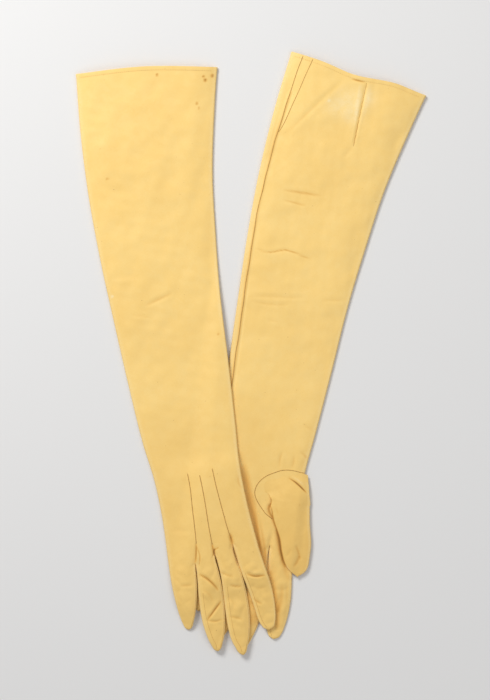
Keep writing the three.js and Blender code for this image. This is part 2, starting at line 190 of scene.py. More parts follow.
def waves(u, v, seed, shortest, longest, count=26):
    """Smooth random undulation, mostly between -1 and 1."""
    random = np.random.default_rng(seed)
    total = np.zeros_like(u)
    for _ in range(count):
        length = shortest * (longest / shortest) ** random.random()
        angle, phase = 2 * math.pi * random.random(2)
        wave = 2 * math.pi / length * (u * math.cos(angle) + v * math.sin(angle)) + phase
        total += (length / longest) ** 0.6 * np.sin(wave)
    return total / math.sqrt(count) * 1.6


def distances_along(points):
    """Distance of each point of a line from the line's start."""
    steps = np.linalg.norm(np.diff(points, axis=0), axis=1)
    return np.concatenate([[0], np.cumsum(steps)])


def resample(points, spacing):
    """A smooth line through the points, with even steps."""
    points = np.array(points, float)
    at = distances_along(points[:, :2])
    places = np.linspace(0, at[-1], max(2, int(round(at[-1] / spacing)) + 1))
    table = np.column_stack([at, points]).tolist()
    return np.column_stack([smooth_table(table, places, c + 1) for c in range(points.shape[1])])


def along_line(points, share):
    """Places at shares of a line's length, straight between its points."""
    line = np.array(points, float)
    at = distances_along(line)
    return np.column_stack([np.interp(share, at / at[-1], line[:, i]) for i in (0, 1)])


def to_world(side, u, v):
    """Places in the row frame of places in a glove's pattern."""
    glove = GLOVES[side]
    turn = math.radians(glove["turn"])
    x = glove["x"] + u * math.cos(turn) - v * math.sin(turn)
    y = glove["y"] + u * math.sin(turn) + v * math.cos(turn)
    return x, y


def to_glove(side, x, y):
    """Places in a glove's pattern of places in the row frame."""
    glove = GLOVES[side]
    turn = math.radians(glove["turn"])
    dx, dy = x - glove["x"], y - glove["y"]
    return dx * math.cos(turn) + dy * math.sin(turn), dy * math.cos(turn) - dx * math.sin(turn)


def trank_height(v):
    """Full thickness of a glove's two layers, from the hand out to the mouth."""
    return lerp(HAND_HEIGHT, MOUTH_HEIGHT, np.clip((v - WRIST) / (ARM_LENGTH - WRIST), 0, 1))


def rise_over_lower_glove(x, y):
    u, v = to_glove("left", x, y)
    inside = u - smooth_table(LOWER_EDGE, v, 1)
    ramp = smoothstep(inside, -FLAT_MARGIN - RAMP_LENGTH, -FLAT_MARGIN)
    return (trank_height(v) + GAP) * ramp


def rise_over_tucked_thumb(u, v):
    low, high = THUMB_OUTLINE[-1][0], THUMB_OUTLINE[0][0]
    inner = THUMB_OUTLINE[1][1] - THUMB_TUCK
    from_tip = smoothstep(v, low - FLAT_MARGIN - RAMP_LENGTH, low - FLAT_MARGIN)
    from_root = 1 - smoothstep(v, high + FLAT_MARGIN, high + FLAT_MARGIN + RAMP_LENGTH)
    from_side = smoothstep(u, inner - FLAT_MARGIN - RAMP_LENGTH, inner - FLAT_MARGIN)
    return (TUCKED_THUMB_HEIGHT + 2 * GAP) * from_tip * from_root * from_side


def rest_height(side, u, v):
    """Height of the surface that a glove lies on."""
    if side == "left":
        return np.zeros_like(np.asarray(u, float))
    return rise_over_lower_glove(*to_world(side, u, v)) + rise_over_tucked_thumb(u, v)


# ---- marks in the leather ----

# Creases, and ridges with a negative depth: (points, half width, depth, tint). The tint darkens most creases
# with painted shade and lightens most ridges with a painted highlight; by the dart it marks the seam and
# pale scuffs.
CREASES = {
    "left": [
        ([(19, 467), (-5, 437), (-29, 405)], 2.2, 0.35, 0.25),
        ([(-23, 351), (-5, 351), (18, 351)], 1.8, 0.3, 0.5),
        ([(-21, 341), (-8, 340), (4, 339)], 1.6, 0.25, 0.42),
        ([(-40, 289), (-27, 287), (-10, 292), (2, 290), (18, 286)], 1.1, 0.45, 0.6),
        ([(-38, 241), (-16, 244), (2, 246), (19, 249)], 1.8, 0.32, 0.2),
        ([(34, 248), (46, 250), (58, 252)], 1.8, 0.3, 0.2),
        ([(-35, 236), (-16, 236), (1, 238)], 1.4, 0.25, 0.25),
        ([(-17, 220), (-6, 220)], 1.5, 0.22, 0.2),
        ([(36, 95), (47, 88)], 1.8, 0.4, 0.35),
        ([(34, 122), (48, 117)], 1.8, 0.3, 0.2),
        ([(18, 76), (17, 84), (18, 92)], 1.8, 0.35, 0.3),
        ([(30, 77), (31, 84), (30, 90)], 1.8, 0.35, 0.3),
        ([(39, 76), (41, 84), (42, 92)], 1.6, 0.3, 0.2),
        # Folds of the valley beside the upper glove's edge, darkened with painted shadow of that edge; the
        # ridge after them has a painted highlight.
        ([(-21, 72), (-12.5, 54), (-7.2, 39), (-0.4, 25), (4.9, 10.5), (10.7, -3.8), (18.6, -18),
          (26.3, -32)], 4.2, 1.6, 0.52),
        ([(-8, 46), (-1, 28), (7, 10), (13, -5), (20, -19)], 6.0, 0.3, 0.14),
        ([(-24, 84), (-16, 68), (-10, 54), (-5, 41), (1, 30)], 2.2, 1.0, 0.15),
        ([(4, 30), (9, 14), (15, -4), (22, -24), (27, -38)], 1.5, 0.9, 0.4),
        ([(-1, 44), (6, 22), (12, 2), (19, -18), (26, -36), (33, -66)], 2.0, -0.6, -0.2),
        # Painted shadow on the lower glove's index finger, beside the upper glove's fingers.
        ([(24, -27), (29, -40), (33, -50), (37, -62), (39, -72), (41, -86)], 3.6, 0.9, 0.55),
        ([(38.5, -38), (40, -50), (40, -60), (39, -68)], 3.2, 0.7, 0.4),
        # Painted shadow on the palm under the left edge of the lower glove's thumb.
        ([(14, 47), (16.5, 40), (13.6, 35.6), (15, 30), (19.3, 25), (24, 17), (28.3, 7), (32.6, -6),
          (36.3, -14.5), (40, -22)], 1.9, 0.7, 0.8),
        ([(24, 14), (28.3, 2), (32.6, -9), (36.3, -17), (41, -27), (46, -36)], 3.6, 0.6, 0.35),
        ([(43, -36), (45, -48), (46, -58)], 1.6, 0.5, 0.25),
        ([(43.6, 470), (42.6, 450), (41.6, 430), (40.5, 405)], 1.0, 0.9, 0.8),
        ([(38, 468), (37.5, 450), (38.5, 430)], 2.0, -0.3, -0.3),
        ([(47, 470), (47.5, 455), (46, 436)], 2.6, -0.3, -0.2),
        ([(39, 405), (36, 398), (32, 392)], 2.0, 0.2, 0.15),
        ([(27, 470.6), (35, 470), (43.4, 469.2)], 1.1, 0.5, 1.0),
    ],
    "right": [
        ([(-16, 248), (-2, 251), (14, 255)], 1.8, 0.4, 0.35),
        ([(-31, 242), (-20, 238), (-10, 234)], 1.6, 0.25, 0.2),
        ([(-48, 283), (-30, 280), (-20, 281)], 2.4, 0.2, 0.1),
        ([(-40, 23), (-16, 18)], 2.4, 0.25, 0.12),
        ([(-40, -33), (-27, -35)], 1.6, 0.4, 0.35),
        ([(-19, -25), (-12, -31), (-6, -39), (-3, -46)], 1.2, 0.9, 1.1),
        ([(-2, -56), (-10, -63), (-20, -72)], 1.2, 0.8, 1.0),
        ([(-21, -72), (-13, -75), (-5, -75)], 1.1, 0.5, 0.5),
        ([(-19, -40), (-13, -47), (-10, -56)], 1.5, 0.4, 0.3),
        ([(0, -12), (0.6, -6), (3.4, -3.4), (7, -4)], 0.8, 0.6, 1.0),
        ([(1, -26), (7, -31), (15, -35)], 1.2, 0.6, 0.5),
        ([(9, -42), (15, -45), (21, -46)], 1.3, 0.6, 0.6),
        ([(2, -73), (9, -76), (15, -79)], 1.4, 0.5, 0.45),
        ([(2, -52), (8, -58), (10, -66)], 1.6, 0.35, 0.2),
        ([(28, -35), (36, -39), (46, -40)], 1.2, 0.8, 1.0),
        ([(29, -31), (37, -35), (46, -36)], 1.6, -0.3, -0.2),
        ([(29, -60), (33, -65), (37, -68)], 1.4, 0.5, 0.5),
        ([(30, -48), (38, -52), (45, -52)], 1.8, 0.35, 0.2),
        ([(41, 64), (39, 57), (41, 48)], 1.6, 0.4, 0.4),
        # Painted shade down the crotches and along the gaps between the fingers.
        ([(-14.9, 6), (-17, -4), (-19.9, -14)], 1.1, 0.9, 0.9),
        ([(-15, 2), (-14, -8), (-17, -18)], 0.8, 0.5, 0.7),
        ([(0.4, 2), (0.4, -3), (0.9, -9)], 1.0, 0.8, 0.9),
        ([(19.8, 8), (20.1, 2), (20.4, -4)], 1.5, 0.9, 1.0),
        ([(19.4, -3), (20.4, -12), (21.2, -26)], 2.0, 0.5, 1.0),
        ([(0.6, -6), (1.2, -14), (1.6, -24)], 1.2, 0.4, 0.8),
        ([(-20.2, -12), (-21, -24), (-22.6, -38)], 1.1, 0.3, 0.7),
    ],
}
# Creases and ridges of the lower glove's thumb: painted shade in the creases, painted highlights on the
# ridges.
THUMB_CREASES = [
    ([(28, 67.5), (36, 64), (45, 58), (55, 50.5)], 0.9, 0.9, 1.6),
    ([(30, 70), (40, 66), (53, 58)], 1.8, -0.45, -0.6),
    ([(40, 71), (46, 67), (53, 64)], 1.3, -0.3, -0.3),
    ([(38, 68), (45, 63), (52, 58.5)], 0.8, 0.35, 0.35),
    ([(46, 2), (50, -5), (53, -12)], 1.6, 0.5, 0.5),
    ([(47, -20), (50, -14), (51, -8)], 2.0, 0.4, 0.5),
    ([(18, 38), (22, 33), (24, 26)], 1.8, 0.4, 0.3),
    ([(17, 56), (24, 50), (27, 44)], 2.4, 0.25, 0.1),
    ([(36, -12), (40, -8), (42, -2)], 1.6, 0.3, 0.2),
]
# Stains, and scuffs with a negative shade: (u, v, size, shade). The three spots on the lower glove's fingers
# are painted shadow under the upper glove's fingers.
SPOTS = {
    "left": [
        (9, 446, 1.3, -0.9), (28, 450, 18, -0.42), (36, 432, 11, -0.3), (50, 455, 10, -0.3),
        (12, 440, 12, -0.22), (-30, 300, 12, 0.12), (20, 180, 16, 0.1), (7, -61, 8, 0.42),
        (14, -78, 9, 0.45), (2, -50, 6, 0.25),
    ],
    "right": [
        (44, 471, 1.4, 1.0), (89, 460, 1.3, 1.0), (90, 456, 1.7, 1.1), (98, 459, 1.9, 1.0),
        (77, 435, 1.3, 1.0), (78, 430, 1.2, 0.8), (-26, 380, 1.3, 0.9), (-46, 264, 1.6, -1.0),
        (50, 205, 1.4, 0.6), (60, 300, 14, 0.12), (-20, 330, 18, 0.1), (10, 120, 20, 0.08),
    ],
}


def distance_to_line(u, v, points):
    """Distance to a line of points, and how far along it the nearest place is, from 0 to 1."""
    line = resample(points, 3.0) if len(points) > 2 else np.array(points, float)
    best = np.full(u.shape, 1e9)
    along = np.zeros_like(u)
    for k in range(len(line) - 1):
        (au, av), (bu, bv) = line[k], line[k + 1]
        du, dv = bu - au, bv - av
        t = np.clip(((u - au) * du + (v - av) * dv) / (du * du + dv * dv), 0, 1)
        d = np.hypot(u - au - t * du, v - av - t * dv)
        closer = d < best
        best = np.where(closer, d, best)
        along = np.where(closer, (k + t) / (len(line) - 1), along)
    return best, along


def press_creases(u, v, creases, rim):
    """Height and tint of creases: painted shade in the creases, painted highlights on the ridges. Each fades
    out at its ends and has low rims beside it.
    """
    height, stains_and_painted_light = np.zeros_like(u), np.zeros_like(u)
    for points, width, depth, shade in creases:
        d, along = distance_to_line(u, v, points)
        reach = 4 if len(points) < 6 else 9
        taper = np.sqrt(np.clip(reach * along * (1 - along), 0, 1))
        dent = np.exp(-(d / width) ** 2) - rim * np.exp(-((d - 2.1 * width) / width) ** 2)
        height -= taper * depth * dent
        stains_and_painted_light += taper * shade * np.exp(-(d / (0.8 * width)) ** 2)
    return height, stains_and_painted_light


def add_marks(side, u, v):
    """Height and tint that the creases, spots and undulation give each point of the upper face; the tint
    holds stains and scuffs together with painted shade and painted highlights.
    """
    seed = 1 if side == "left" else 2
    swell = 0.38 * waves(u, v, SWELL_SEED + seed, 26, 90) + 0.1 * waves(u, v, RIPPLE_SEED + seed, 8, 24)
    swell *= lerp(0.55, 1, smoothstep(v, 60, 260))
    crumple = np.abs(waves(u, v, CRUMPLE_SEED + seed, 9, 26)) - 0.5
    fingers_only = 1 - smoothstep(v, -25, 10)
    height, stains_and_painted_light = press_creases(u, v, CREASES[side], 0.3)
    height += swell + 0.3 * crumple * fingers_only
    if GLOVES[side]["palm_up"]:
        d, _ = distance_to_line(u, v, seam_path("side")[::4])
        # A darker band along the side seam, and a painted highlight on the leather beside it.
        stains_and_painted_light += 0.42 * np.exp(-((d - 0.6) / 1.3) ** 2) - 0.25 * np.exp(-((d - 2.6) / 1.0) ** 2)
        height += 0.3 * np.exp(-(d / 1.6) ** 2) - 0.3 * np.exp(-((d - 2.4) / 1.1) ** 2)
    for at_u, at_v, size, shade in SPOTS[side]:
        stains_and_painted_light += shade * np.exp(-((u - at_u) ** 2 + (v - at_v) ** 2) / size ** 2)
    return height, stains_and_painted_light


# ---- one glove's skin ----

class Skin:
    """Points of one glove with their pattern places, and labelled faces."""

    def __init__(self):
        self.u, self.v, self.z, self.free = [], [], [], []
        self.faces, self.labels = [], []
        self.count = 0

    def add(self, u, v, z, free):
        """Adds points and returns their numbers. free is 1 where marks may move a point."""
        u, v, z, free = np.broadcast_arrays(*[np.asarray(a, float) for a in (u, v, z, free)])
        for store, values in ((self.u, u), (self.v, v), (self.z, z), (self.free, free)):
            store.append(values.ravel())
        numbers = np.arange(self.count, self.count + u.size)
        self.count += u.size
        return numbers

    def strip(self, low, high, labels):
        """Quads between two rings of point numbers. labels has one name for each column."""
        count = len(low)
        for c in range(count):
            n = (c + 1) % count
            self.faces.append((low[c], low[n], high[n], high[c]))
            self.labels.append(labels[c])

    def arrays(self):
        """The u, v, z and free values of all points so far."""
        return tuple(np.concatenate(values) for values in (self.u, self.v, self.z, self.free))


def knot_places(v, width):
    """Places of the column knots across one row, from the little-finger edge."""
    climb = np.clip((v - 0.67 * ARM_LENGTH) / (0.35 * ARM_LENGTH), 0, 1)
    seam = SIDE_SEAM_INSET + SIDE_SEAM_SPREAD * climb
    widen = np.clip((v - GUSSET_START) / (ARM_LENGTH - GUSSET_START), 0, 1.2) ** 0.6
    second = seam + lerp(6, 0.5, smoothstep(v, 150, 300)) + GUSSET_WIDTH * widen
    low_u, high_u = TRANK_OUTLINE[0][1], TRANK_OUTLINE[0][2]
    shares = [(u - low_u) / (high_u - low_u) for u, _ in CROTCHES]
    return [0.0, seam, second] + [width * s for s in shares] + [width]


def columns_across(knots, spans):
    """Places of every column, with the spans' counts between the knots."""
    places = [np.linspace(a, b, n + 1)[:-1] for a, b, n in zip(knots, knots[1:], spans)]
    return np.append(np.concatenate(places), knots[-1])


def crown(place, width, edge, height, shoulder):
    """Thickness of a flattened tube at a place across it."""
    near = np.clip(np.minimum(place, width - place) / shoulder, 0, 1)
    return edge + (height - edge) * (1 - (1 - near) ** 2)


def root_bend(share):
    """How far the row of finger roots bends from a straight line, at a share of the width."""
    low_u, high_u = TRANK_OUTLINE[0][1], TRANK_OUTLINE[0][2]
    places = [0.0] + [(u - low_u) / (high_u - low_u) for u, _ in CROTCHES] + [1.0]
    bends = [0.0] + [v - FINGER_ROOT for _, v in CROTCHES] + [0.0]
    return np.interp(share, places, bends)


def mouth_wave(side, share):
    """How far the mouth's edge bends from a straight line, at a share of its width."""
    if side == "left":
        return -3.2 * np.exp(-((share - 0.46) / 0.16) ** 2) + 1.6 * np.exp(-((share - 0.78) / 0.13) ** 2)
    return 3.6 * np.sin(np.pi * np.clip(share, 0, 1)).clip(0) ** 1.5


def crotch_valley(u, v):
    """How much the hand is pressed in above each crotch."""
    drop = np.zeros_like(u)
    for at_u, at_v in CROTCHES:
        fade = 1 - smoothstep(v, at_v, at_v + VALLEY_LENGTH)
        drop += VALLEY_DEPTH * np.exp(-((u - at_u) / VALLEY_WIDTH) ** 2) * fade
    return drop


def row_ends(s):
    """Both ends of the row at a share of the length from the fingers to the mouth, and its width."""
    v_little = lerp(FINGER_ROOT, ARM_LENGTH + MOUTH_SKEW, s)
    v_thumb = lerp(FINGER_ROOT, ARM_LENGTH - MOUTH_SKEW, s)
    u_little = smooth_table(TRANK_OUTLINE, v_little, 1)
    u_thumb = smooth_table(TRANK_OUTLINE, v_thumb, 2)
    return u_little, v_little, u_thumb, v_thumb, math.hypot(u_thumb - u_little, v_thumb - v_little)


def trank_ring(skin, side, s, depth=0.0, swell=0.0):
    """One ring of points round the hand and arm. depth goes in from the surface, swell out."""
    u_little, v_little, u_thumb, v_thumb, width = row_ends(s)
    v_middle = (v_little + v_thumb) / 2
    height = trank_height(v_middle) - 0.3
    edge = lerp(HAND_EDGE, MOUTH_EDGE, smoothstep(v_middle, WRIST, ARM_LENGTH))
    shoulder = lerp(HAND_SHOULDER, MOUTH_SHOULDER, smoothstep(v_middle, 40, ARM_LENGTH))
    knots = knot_places(v_middle, width)
    inset = edge / 2

    def plan(place):
        share = place / width
        u, v = lerp(u_little, u_thumb, share), lerp(v_little, v_thumb, share)
        at_fingers, at_mouth = 1 - smoothstep(s, 0, 0.1), smoothstep(s, 0.86, 1)
        return u, v + root_bend(share) * at_fingers + mouth_wave(side, share) * at_mouth

    def face(spans, upper):
        place = np.clip(columns_across(knots, spans), inset, width - inset)
        u, v = plan(place)
        thick = crown(place - inset, width - 2 * inset, edge, height, shoulder)
        thick = thick - (crotch_valley(u, v) if upper else 0)
        z = thick - depth + swell if upper else np.full_like(thick, depth - swell)
        free = smoothstep(np.minimum(place, width - place), inset, inset + 7) if upper else np.zeros_like(u)
        return skin.add(u, v, z, free)

    def fold(thumb_side):
        radius = inset - depth + swell
        angles = np.radians(EDGE_ANGLES)
        out = radius * np.cos(angles)
        place = (width - inset + out) if thumb_side else (inset - out)
        u, v = plan(place)
        return skin.add(u, v, inset + radius * np.sin(angles), 0.0)

    top = face(TOP_SPANS, True)
    thumb_fold = fold(True)
    under = face(UNDER_SPANS, False)[::-1]
    little_fold = fold(False)[::-1]
    return {"top": top, "thumb": thumb_fold, "under": under, "little": little_fold}


def whole(ring):
    return np.concatenate([ring["top"], ring["thumb"], ring["under"], ring["little"]])


def trank_labels(side, s):
    """The name of the piece that each column of a ring belongs to."""
    tops, unders = sum(TOP_SPANS) + 1, sum(UNDER_SPANS) + 1
    folds = len(EDGE_ANGLES)
    count = tops + unders + 2 * folds
    v_middle = lerp(FINGER_ROOT, ARM_LENGTH, s)
    if v_middle > ARM_LENGTH - HEM_WIDTH:
        return ["hem"] * count
    labels = ["trank"] * count
    if v_middle > GUSSET_START:
        wide = TOP_SPANS[1] if side == "left" else UNDER_SPANS[1]
        first = TOP_SPANS[0] if side == "left" else tops + folds + unders - 1 - UNDER_SPANS[0] - wide
        labels[first:first + wide] = ["gusset"] * wide
    return labels


def add_trank(skin, side):
    """The hand and arm with the turned hem and the inside of the mouth. Returns the first ring."""
    shares = list(np.linspace(0, 1, TRANK_ROWS + 1)[:-3])
    last = 1 - 3 / TRANK_ROWS              # the hem's own rings take the place of the last rows
    rings = [trank_ring(skin, side, s) for s in shares]
    for s, swell in HEM_RINGS:
        rings.append(trank_ring(skin, side, s, swell=swell))
        shares.append(max(s, last))
    labels = [trank_labels(side, (a + b) / 2) for a, b in zip(shares, shares[1:])]
    for k, (inward, depth) in enumerate(LINING_RINGS):
        rings.append(trank_ring(skin, side, 1 - inward / (ARM_LENGTH - FINGER_ROOT), depth=depth))
        labels.append(["hem" if k < 2 else "lining"] * len(labels[0]))
    for low, high, names in zip(rings, rings[1:], labels):
        skin.strip(whole(low), whole(high), names)
    return rings[0]


def tip_rounding(t, length, blunt=FINGER_BLUNT):
    """Narrows the last few millimetres of a finger to a round end."""
    start = 1 - blunt / length
    over = np.clip((t - start) / (1 - start), 0, 1)
    return math.sqrt(max(1 - over ** 2, 0.02))


def narrowed(low, high, share):
    """Both edges of a row, drawn in toward its middle."""
    middle = (low + high) / 2
    return lerp(middle, low, share), lerp(middle, high, share)


def finger_root(skin, name, root):
    """Numbers of a finger's first upper, under and whole ring, from the hand's first ring."""
    low, high = FINGER_SPANS[name]
    top_start, under_start = sum(TOP_SPANS[:low]), sum(UNDER_SPANS[:low])
    top = root["top"][top_start:top_start + sum(TOP_SPANS[low:high]) + 1]
    under = root["under"][::-1][under_start:under_start + sum(UNDER_SPANS[low:high]) + 1][::-1]
    u, v, z, _ = skin.arrays()

    def crotch_wall(upper, lower):
        t = np.linspace(0, 1, len(EDGE_ANGLES) + 2)[1:-1]
        return skin.add(*(lerp(values[upper], values[lower], t) for values in (u, v, z)), 0.0)

    thumb_wall = root["thumb"] if name == "index" else crotch_wall(top[-1], under[0])
    little_wall = root["little"] if name == "little" else crotch_wall(under[-1], top[0])
    return top, under, np.concatenate([top, thumb_wall, under, little_wall])


def finger_labels(name, tops, unders):
    """The name of the piece that each column of a finger's ring belongs to."""
    folds = len(EDGE_ANGLES)
    count = tops + unders + 2 * folds
    labels = [name] * count
    if name != "little":
        for c in [*range(FOURCHETTE_COLUMNS[name]), *range(tops + folds + unders - 2, count)]:
            labels[c] = f"{name}_fourchette_little_side"
    if name != "index":
        for c in range(tops - 1, tops + folds + 1):
            labels[c] = f"{name}_fourchette_thumb_side"
    return labels


def add_finger(skin, name, root):
    """A finger from its part of the hand's first ring to a closed tip."""
    outline = FINGER_OUTLINES[name]
    top, under, previous = finger_root(skin, name, root)
    labels = finger_labels(name, len(top), len(under))
    start_u, start_v, start_z = (values[top] for values in skin.arrays()[:3])
    tip_v = outline[-1][0]
    top_share = (start_u - start_u[0]) / (start_u[-1] - start_u[0])
    under_share = np.linspace(1, 0, len(under))
    little_v, thumb_v = start_v[0], start_v[-1]
    dip = start_v - lerp(little_v, thumb_v, top_share)
    length = abs(tip_v - (little_v + thumb_v) / 2)
    little_shift = start_u[0] - smooth_table(outline, little_v, 1)
    thumb_shift = start_u[-1] - smooth_table(outline, thumb_v, 2)
    if name == "little":
        little_shift -= HAND_EDGE / 2
    if name == "index":
        thumb_shift += HAND_EDGE / 2
    angles = np.radians(EDGE_ANGLES)

    for row in range(1, FINGER_ROWS + 1):
        t = math.sin(row / FINGER_ROWS * math.pi / 2) ** 0.9
        ease = 1 - smoothstep(t * length, 0, 9)
        narrow = tip_rounding(t, length)
        v_a, v_b = lerp(little_v, tip_v, t), lerp(thumb_v, tip_v, t)
        u_a, u_b = narrowed(smooth_table(outline, v_a, 1) + little_shift * ease,
                            smooth_table(outline, v_b, 2) + thumb_shift * ease, narrow)
        width = math.hypot(u_b - u_a, v_b - v_a)
        thin = lerp(0.5, 1, narrow)
        height = lerp(HAND_HEIGHT - 0.1, TIP_HEIGHT, smoothstep(t, 0.55, 1)) * thin
        edge = min(lerp(FINGER_EDGE, TIP_EDGE, smoothstep(t, 0.4, 1)) * thin, width * 0.8)
        inset = min(edge / 2, width * 0.4)
        place = lerp(inset, width - inset, top_share)
        thick = crown(place - inset, width - 2 * inset, edge, height, max(width * 0.42, 0.5))
        thick = lerp(start_z, thick, smoothstep(t * length, 0, 7))
        share = place / width

        def plan(at):
            return lerp(u_a, u_b, at), lerp(v_a, v_b, at)

        def fold(at, top_z, order):
            u, v = plan(at / width)
            return skin.add(u[::order], v[::order], (top_z / 2 * (1 + np.sin(angles)))[::order], 0.0)

        out = inset * np.cos(angles)
        u, v = plan(share)
        free = smoothstep(np.minimum(share, 1 - share), 0.02, 0.25)
        new_top = skin.add(u, v + dip * ease, thick, free)
        new_thumb = fold(width - inset + out, thick[-1], 1)
        new_under = skin.add(*plan(lerp(inset, width - inset, under_share) / width), 0.0, 0.0)
        new_little = fold(inset - out, thick[0], -1)
        ring = np.concatenate([new_top, new_thumb, new_under, new_little])
        skin.strip(ring, previous, labels)
        previous = ring
    tip = skin.add([(u_a + u_b) / 2], [(v_a + v_b) / 2 - 0.3], [float(np.mean(thick)) / 2], 0.0)[0]
    for c in range(len(previous)):
        n = (c + 1) % len(previous)
        skin.faces.append((tip, previous[n], previous[c]))
        skin.labels.append(labels[c])


def build_skin(side):
    skin = Skin()
    root = add_trank(skin, side)
    for name in FINGERS:
        add_finger(skin, name, root)
    return skin


def vertex_normals(points, faces):
    """Smooth normals of a mesh, weighted by face area."""
    normals = np.zeros_like(points)
    for size in (3, 4):
        chosen = np.array([f for f in faces if len(f) == size], int)
        if not len(chosen):
            continue
        a, b, c = (points[chosen[:, i]] for i in (0, 1, 2))
        cross = np.cross(b - a, c - a)
        if size == 4:
            cross = cross + np.cross(c - a, points[chosen[:, 3]] - a)
        for i in range(size):
            np.add.at(normals, chosen[:, i], cross)
    length = np.linalg.norm(normals, axis=1, keepdims=True)
    return normals / np.maximum(length, 1e-12)


def inside_polygon(u, v, polygon):
    """Which places lie inside a closed line of points."""
    inside = np.zeros(u.shape, bool)
    for (au, av), (bu, bv) in zip(polygon, polygon[1:] + polygon[:1]):
        crosses = ((av > v) != (bv > v)) & (u < (bu - au) * (v - av) / (bv - av + 1e-12) + au)
        inside ^= crosses
    return inside


# ---- objects from meshes ----

def make_mesh(name, points, faces, normals=None, attributes=None):
    """A mesh object in metres from points in millimetres."""
    mesh = bpy.data.meshes.new(name)
    mesh.from_pydata((np.asarray(points) * MM).tolist(), [], [tuple(int(i) for i in f) for f in faces])
    mesh.update()
    for key, values in (attributes or {}).items():
        kind = "FLOAT_VECTOR" if np.ndim(values) == 2 else "FLOAT"
        made = mesh.attributes.new(key, kind, "POINT")
        made.data.foreach_set("vector" if kind == "FLOAT_VECTOR" else "value",
                              np.asarray(values, np.float32).ravel())
    mesh.polygons.foreach_set("use_smooth", [True] * len(mesh.polygons))
    if normals is not None:
        mesh.normals_split_custom_set_from_vertices(np.asarray(normals).tolist())
    piece = bpy.data.objects.new(name, mesh)
    bpy.context.scene.collection.objects.link(piece)
    return piece


def split_piece(name, world, normals, faces, attributes):
    """A piece from some of a skin's faces, keeping the whole skin's smooth normals."""
    used = np.unique(np.concatenate([np.array(f) for f in faces]))
    renumber = {int(old): new for new, old in enumerate(used)}
    own = [[renumber[int(i)] for i in f] for f in faces]
    picked = {key: values[used] for key, values in attributes.items()}
    return make_mesh(name, world[used], own, normals[used], picked)


# ---- materials ----

class Shader:
    """Short way to write a node material."""

    def __init__(self, name):
        self.material = bpy.data.materials.new(name)
        self.material.use_nodes = True
        self.tree = self.material.node_tree
        self.shader = self.tree.nodes["Principled BSDF"]

    def node(self, kind, settings=None, **inputs):
        node = self.tree.nodes.new(kind)
        for key, value in (settings or {}).items():
            setattr(node, key, value)
        for key, value in inputs.items():
            self.feed(node.inputs[key.replace("_", " ")], value)
        return node

    def feed(self, socket, value):
        if isinstance(value, bpy.types.NodeSocket):
            self.tree.links.new(value, socket)
        else:
            socket.default_value = value

    def attribute(self, name, output="Fac"):
        return self.node("ShaderNodeAttribute", {"attribute_name": name}).outputs[output]

    def noise(self, place, scale, detail=2.0, roughness=0.5, distortion=0.0):
        made = self.node("ShaderNodeTexNoise", Vector=place, Scale=scale, Detail=detail,
                         Roughness=roughness, Distortion=distortion)
        return made.outputs["Fac"]

    def ramp(self, value, low, high, to_low=0.0, to_high=1.0):
        made = self.node("ShaderNodeMapRange", {"interpolation_type": "SMOOTHSTEP"}, Value=value,
                         From_Min=low, From_Max=high, To_Min=to_low, To_Max=to_high)
        return made.outputs["Result"]

    def math(self, operation, a, b=0.0):
        made = self.node("ShaderNodeMath", {"operation": operation})
        self.feed(made.inputs[0], a)
        self.feed(made.inputs[1], b)
        return made.outputs[0]

    def mix(self, factor, a, b):
        made = self.node("ShaderNodeMix", {"data_type": "RGBA"})
        self.feed(made.inputs[0], factor)
        self.feed(made.inputs[6], a)
        self.feed(made.inputs[7], b)
        return made.outputs[2]

    def finish(self, colour, roughness, height, strength, distance):
        """Feeds the shader's colour, roughness and bumps, and returns the material."""
        bump = self.node("ShaderNodeBump", Height=height, Strength=strength, Distance=distance)
        self.feed(self.shader.inputs["Base Color"], colour)
        self.feed(self.shader.inputs["Roughness"], roughness)
        self.feed(self.shader.inputs["Normal"], bump.outputs["Normal"])
        return self.material


BASE = (0.95, 0.665, 0.23, 1)
DEEP = (0.87, 0.54, 0.14, 1)
AMBER = (0.72, 0.37, 0.07, 1)
BROWN = (0.33, 0.15, 0.03, 1)
PALE = (0.97, 0.83, 0.5, 1)
INSIDE = (0.93, 0.76, 0.44, 1)


def shifted(colour, *factors):
    """A colour with its channels scaled."""
    return (*(min(channel * factor, 1) for channel, factor in zip(colour, factors)), 1)


